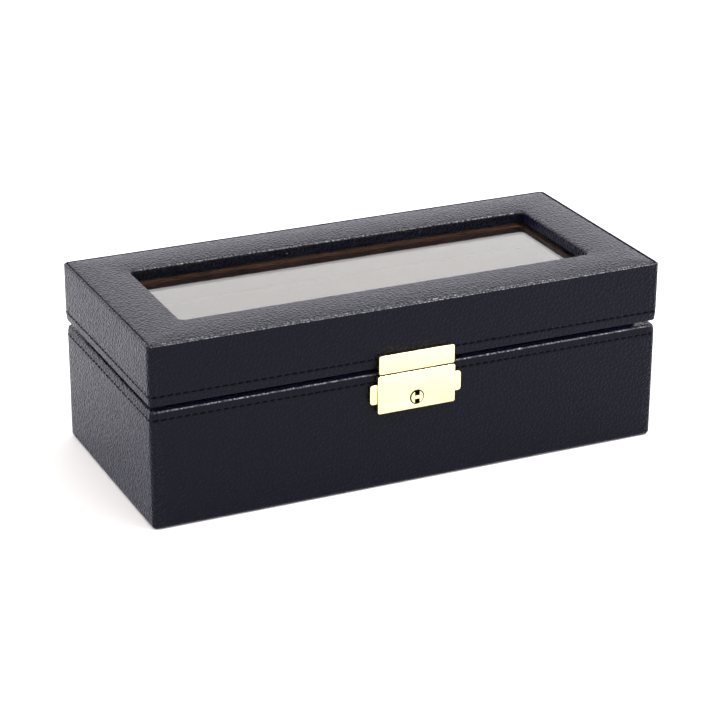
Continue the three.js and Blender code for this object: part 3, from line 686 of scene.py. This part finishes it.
def plated_metal(name, colour, roughness, scratches):
    """Polished metal with faint scratches and a slight unevenness in its shine."""
    material, tree, shader = new_material(name)
    link = tree.links.new
    place = add_node(tree, "ShaderNodeTexCoord").outputs["Object"]
    clouds = add_node(tree, "ShaderNodeTexNoise", Scale=90.0, Detail=3.0)
    link(place, clouds.inputs["Vector"])
    stretched = add_node(tree, "ShaderNodeMapping")
    stretched.inputs["Scale"].default_value = (1.0, 1.0, 14.0)
    link(place, stretched.inputs["Vector"])
    lines = add_node(tree, "ShaderNodeTexNoise", Scale=260.0, Detail=5.0)
    link(stretched.outputs["Vector"], lines.inputs["Vector"])
    shine = add_node(tree, "ShaderNodeMapRange")
    shine.inputs["To Min"].default_value = roughness * 0.7
    shine.inputs["To Max"].default_value = roughness * 1.4
    link(clouds.outputs["Fac"], shine.inputs["Value"])
    link(shine.outputs["Result"], shader.inputs["Roughness"])
    tone = colour_ramp(
        tree, clouds.outputs["Fac"], (0.3, tuple(0.93 * c for c in colour)), (0.7, colour)
    )
    link(tone, shader.inputs["Base Color"])
    bump_into(tree, shader, lines.outputs["Fac"], scratches)
    shader.inputs["Metallic"].default_value = 1.0
    return material


brass_material = plated_metal("hinge_brass", (0.80, 0.58, 0.24), 0.24, 0.006 * MM)
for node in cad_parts:
    if node.startswith("hinge"):
        body = "lid" if "lid" in node else "base"
        edge = 0.12 * MM if "screw" in node else 0.2 * MM
        dress(node, node + "_brass", brass_material, edge, body, "hinge_brass", segments=2)

# ---------------------------------------------------------------- lock and hasp
# A pale gold plated press-button lock: a hasp plate screwed to the lid, whose tongue drops into the
# lock let into the case's front, a push button at each end, and a key plug low in the middle.
gold_material = plated_metal("pale_gold_plate", (0.95, 0.84, 0.45), 0.18, 0.004 * MM)
lock_face = dress("lock_cover", "lock_face", gold_material, 0.15 * MM, "base", "gold_plate")
dress("hasp_plate", "hasp", gold_material, 0.15 * MM, "lid", "gold_plate")
dress("left_catch", "left_button_and_catch", gold_material, 0.35 * MM, "left_catch", "gold_plate")
dress("right_catch", "right_button_and_catch", gold_material, 0.35 * MM, "right_catch", "gold_plate")
key_plug = dress("lock_plug", "key_plug", gold_material, 0.12 * MM, "lock_plug", "gold_plate", segments=2)
# The walls of the plug's hole and the plug's own sides get a dark brass: painted shade for the gap round
# the plug
brass_painted_shade = plated_metal("brass_painted_shade", (0.05, 0.035, 0.015), 0.5, 0.01 * MM)
low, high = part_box("lock_plug")
HOLE_EASE = 0.6 * MM
plug_middle, plug_reach = (low + high) / 2, (high.x - low.x) / 2 + HOLE_EASE
FACING_OUT = 0.97
for piece in (lock_face, key_plug):
    piece.data.materials.append(brass_painted_shade)
    for face in piece.data.polygons:
        across = Vector((face.center.x - plug_middle.x, face.center.z - plug_middle.z))
        if abs(face.normal.y) < FACING_OUT and across.length < plug_reach:
            face.material_index = 1

steel_material = plated_metal("zinc_plated_steel", (0.56, 0.57, 0.58), 0.3, 0.01 * MM)
for node in ("lock_tray", "lock_cam", "catch_spring", "hasp_screw_1", "hasp_screw_2"):
    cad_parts[node].data.materials.clear()
    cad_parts[node].data.materials.append(steel_material)

# ---------------------------------------------------------------- watch pillows
# Five stuffed cushions of brown suede-cloth, one in each compartment: a long strip sewn round two
# oval sides, so that a closed watch slips over it. The stuffing swells the cloth between the seams.
PILLOW_SEAM = 16.5 * MM
PILLOW_THREAD = 0.5 * MM
SWELL_CAP = 3.5 * MM
PINCH_WIDTH, PINCH_DEPTH = 1.3 * MM, 0.9 * MM
DENT = 0.9 * MM
UNSTUFFED = (0.93, 0.96, 0.95)
CLEARANCE = (0.985, 0.99, 0.985)
VOXEL = 2.4 * MM
PRESSURE = 4
LAST_FRAME = 20


def oval(width, height, power, count):
    """A closed loop of (y, z) points on a superellipse."""
    angles = np.arange(count) / count * 2 * math.pi
    c, s = np.cos(angles), np.sin(angles)
    return np.stack([
        np.sign(c) * np.abs(c) ** (2 / power) * width,
        np.sign(s) * np.abs(s) ** (2 / power) * height,
    ], -1)


def pillow_blank(half):
    """The unstuffed cushion: a strip round two oval sides, a little smaller than the finished one."""
    stations = [(-0.99, 0.0), (-0.99, 0.45), (-0.97, 0.75), (-0.9, 0.9), (-0.8, 0.955)]
    stations += [(-0.4, 0.965), (0.0, 0.97)]
    stations += [(-x, size) for x, size in stations[-2::-1]]
    around = 48
    points, faces = [], []
    for x, size in stations[1:-1]:
        for y, z in oval(half.y * size, half.z * size, 2.9, around):
            points.append((x * half.x * UNSTUFFED[0], y * UNSTUFFED[1], z * UNSTUFFED[2]))
    rows = len(stations) - 2
    for row in range(rows - 1):
        for i in range(around):
            j = (i + 1) % around
            first, above = row * around, (row + 1) * around
            faces.append((first + i, first + j, above + j, above + i))
    faces.append(tuple(range(around))[::-1])
    faces.append(tuple(range((rows - 1) * around, rows * around)))
    mesh = bpy.data.meshes.new("pillow_blank")
    mesh.from_pydata(points, [], faces)
    work = bmesh.new()
    work.from_mesh(mesh)
    bmesh.ops.recalc_face_normals(work, faces=work.faces)
    work.to_mesh(mesh)
    work.free()
    return mesh


def stuffed(blank):
    """Remeshes the blank evenly and blows it up as cloth, no point moving further than the cap."""
    piece = bpy.data.objects.new("pillow_at_work", blank)
    bpy.context.scene.collection.objects.link(piece)
    even = piece.modifiers.new("even", "REMESH")
    even.mode = "VOXEL"
    even.voxel_size = VOXEL
    mesh = plain_mesh(piece, "pillow_even")
    rest = np.empty(len(mesh.vertices) * 3)
    mesh.vertices.foreach_get("co", rest)
    moved = rest.copy()
    piece = bpy.data.objects.new("pillow_at_work", mesh.copy())
    bpy.context.scene.collection.objects.link(piece)
    cloth = piece.modifiers.new("stuffing", "CLOTH")
    cloth.settings.use_pressure = True
    cloth.settings.uniform_pressure_force = PRESSURE
    cloth.settings.mass = 0.3
    cloth.settings.tension_stiffness = 12
    cloth.settings.compression_stiffness = 12
    cloth.settings.effector_weights.gravity = 0
    cloth.point_cache.frame_start, cloth.point_cache.frame_end = 1, LAST_FRAME
    for step in range(1, LAST_FRAME + 1):
        bpy.context.scene.frame_set(step)
    plain_mesh(piece, "pillow_swollen").vertices.foreach_get("co", moved)
    bpy.context.scene.frame_set(1)
    shift = (moved - rest).reshape(-1, 3)
    far = np.linalg.norm(shift, axis=1, keepdims=True)
    shift *= np.minimum(1, SWELL_CAP / np.maximum(far, 1e-9))
    mesh.vertices.foreach_set("co", (rest.reshape(-1, 3) + shift).ravel())
    return mesh


def finished_pillow(mesh, half, number):
    """One cushion's mesh: fitted to its space, pinched at its two seams and dented a little."""
    points = np.empty(len(mesh.vertices) * 3)
    mesh.vertices.foreach_get("co", points)
    points = points.reshape(-1, 3)
    reach = np.abs(points).max(axis=0)
    points *= (np.array(half) * CLEARANCE) / reach
    if number % 2:
        points[:, 0] *= -1
    for p in points:
        radial = Vector((0, p[1] / half.y, p[2] / half.z))
        pinch = sum(math.exp(-(((p[0] - side * PILLOW_SEAM) / PINCH_WIDTH) ** 2)) for side in (-1, 1))
        away = Vector((0, p[1], p[2])).normalized() * pinch * PINCH_DEPTH * min(1, radial.length * 1.2)
        dent = noise.noise(Vector(p) * 45 + Vector((number * 7.0, 0, 0))) * DENT
        out = Vector(p).normalized()
        for axis in range(3):
            p[axis] += -away[axis] + out[axis] * (dent - 0.5 * MM)
    # It is flat only where it lies on the floor lining
    points[:, 2] = np.maximum(points[:, 2], -half.z)
    copy = mesh.copy()
    copy.vertices.foreach_set("co", points.ravel())
    if number % 2:
        copy.flip_normals()
    return copy


pillow_material = suede("pillow_suede", (0.078, 0.045, 0.027), (0.12, 0.072, 0.046), 0.3)
pillow_thread = twisted_thread("brown_thread", (0.03, 0.016, 0.009), (0.08, 0.046, 0.028))
low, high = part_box("watch_pillow_1")
pillow_half = (high - low) / 2
swollen = stuffed(pillow_blank(pillow_half))
for number in range(1, 6):
    low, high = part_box(f"watch_pillow_{number}")
    middle = (low + high) / 2
    mesh = finished_pillow(swollen, pillow_half, number)
    work = link_mesh("pillow_work", mesh, pillow_material)
    smooth = work.modifiers.new("cloth", "SUBSURF")
    smooth.levels = smooth.render_levels = 1
    mesh = plain_mesh(work, f"pillow_{number}")
    # Two rows of stitches, laid on the cushion's own surface
    surface = BVHTree.FromPolygons([v.co for v in mesh.vertices], [p.vertices for p in mesh.polygons])
    rows = []
    for side in (-1, 1):
        path = []
        for y, z in oval(1.0, 1.0, 2.0, 160):
            start = Vector((side * PILLOW_SEAM, 0, 0))
            hit = surface.ray_cast(start, Vector((0, y * pillow_half.y, z * pillow_half.z)).normalized())
            path.append(hit[0])
        rows.append(stitch_row(f"pillow_{number}_seam_{(side + 3) // 2}", path, pillow_thread,
                               pitch=2.8 * MM, length=2.0 * MM, thread=PILLOW_THREAD, slant=0))
    mesh.transform(Matrix.Translation(middle))
    cushion = link_mesh(f"pillow_{number}_cushion", mesh, pillow_material)
    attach(cushion, f"pillow_{number}")
    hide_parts(f"watch_pillow_{number}")
    for row in rows:
        row.data.transform(Matrix.Translation(middle))
        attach(row, f"pillow_{number}")

# ---------------------------------------------------------------- studio
# A plain white floor under soft even light, a softbox overhead, and the camera in front of the left
# corner with a long lens.
AZIMUTH, ELEVATION, ROLL = (math.radians(a) for a in (-24.837, 22.697, 0.276))
LENS = 123.3
DISTANCE = 1.1507
AIM_HEIGHT = 33.33 * MM
FRAMING = (-0.54 * MM, 4.21 * MM)

floor_mesh = bpy.data.meshes.new("floor")
FLOOR_REACH = 12
floor_mesh.from_pydata(
    [(x * FLOOR_REACH, y * FLOOR_REACH, 0) for x, y in ((-1, -1), (1, -1), (1, 1), (-1, 1))],
    [], [(0, 1, 2, 3)],
)
floor_material, floor_tree, floor_shader = new_material("white_floor")
floor_shader.inputs["Base Color"].default_value = (0.76, 0.76, 0.76, 1)
floor_shader.inputs["Roughness"].default_value = 0.9
floor_shader.inputs["Specular IOR Level"].default_value = 0.0
floor = link_mesh("floor", floor_mesh, floor_material, smooth=False)

world = bpy.data.worlds.new("studio_light")
world.use_nodes = True
world.node_tree.nodes["Background"].inputs["Color"].default_value = (1.0, 0.965, 0.955, 1)
world.node_tree.nodes["Background"].inputs["Strength"].default_value = 2.04
bpy.context.scene.world = world


def softbox(name, place, aim, size, power):
    lamp = bpy.data.lights.new(name, "AREA")
    lamp.shape = "RECTANGLE"
    lamp.size, lamp.size_y = size
    lamp.energy = power
    light = bpy.data.objects.new(name, lamp)
    light.matrix_world = Matrix.Translation(place) @ (
        (Vector(aim) - Vector(place)).to_track_quat("-Z", "Y").to_matrix().to_4x4()
    )
    bpy.context.scene.collection.objects.link(light)


LAMP_PLACE, LAMP_AIM = (0.48, -0.48, 1.05), (0, 0, 0.05)
LAMP_SIZE, LAMP_POWER = (0.4, 0.3), 11
softbox("overhead_softbox", LAMP_PLACE, LAMP_AIM, LAMP_SIZE, LAMP_POWER)

back = Vector((
    math.sin(AZIMUTH) * math.cos(ELEVATION),
    -math.cos(AZIMUTH) * math.cos(ELEVATION),
    math.sin(ELEVATION),
))
level = Vector((0, 0, 1)).cross(back).normalized()
upright = back.cross(level)
right = level * math.cos(ROLL) + upright * math.sin(ROLL)
up = upright * math.cos(ROLL) - level * math.sin(ROLL)
aim = Vector((lid_centre[0], lid_centre[1], AIM_HEIGHT))
place = aim + right * FRAMING[0] + up * FRAMING[1] + back * DISTANCE
lens = bpy.data.cameras.new("camera")
lens.lens = LENS
lens.clip_start = 0.05
camera = bpy.data.objects.new("camera", lens)
camera.matrix_world = Matrix.Translation(place) @ Matrix((right, up, back)).transposed().to_4x4()
bpy.context.scene.collection.objects.link(camera)
bpy.context.scene.camera = camera
bpy.context.scene.view_settings.view_transform = "Standard"
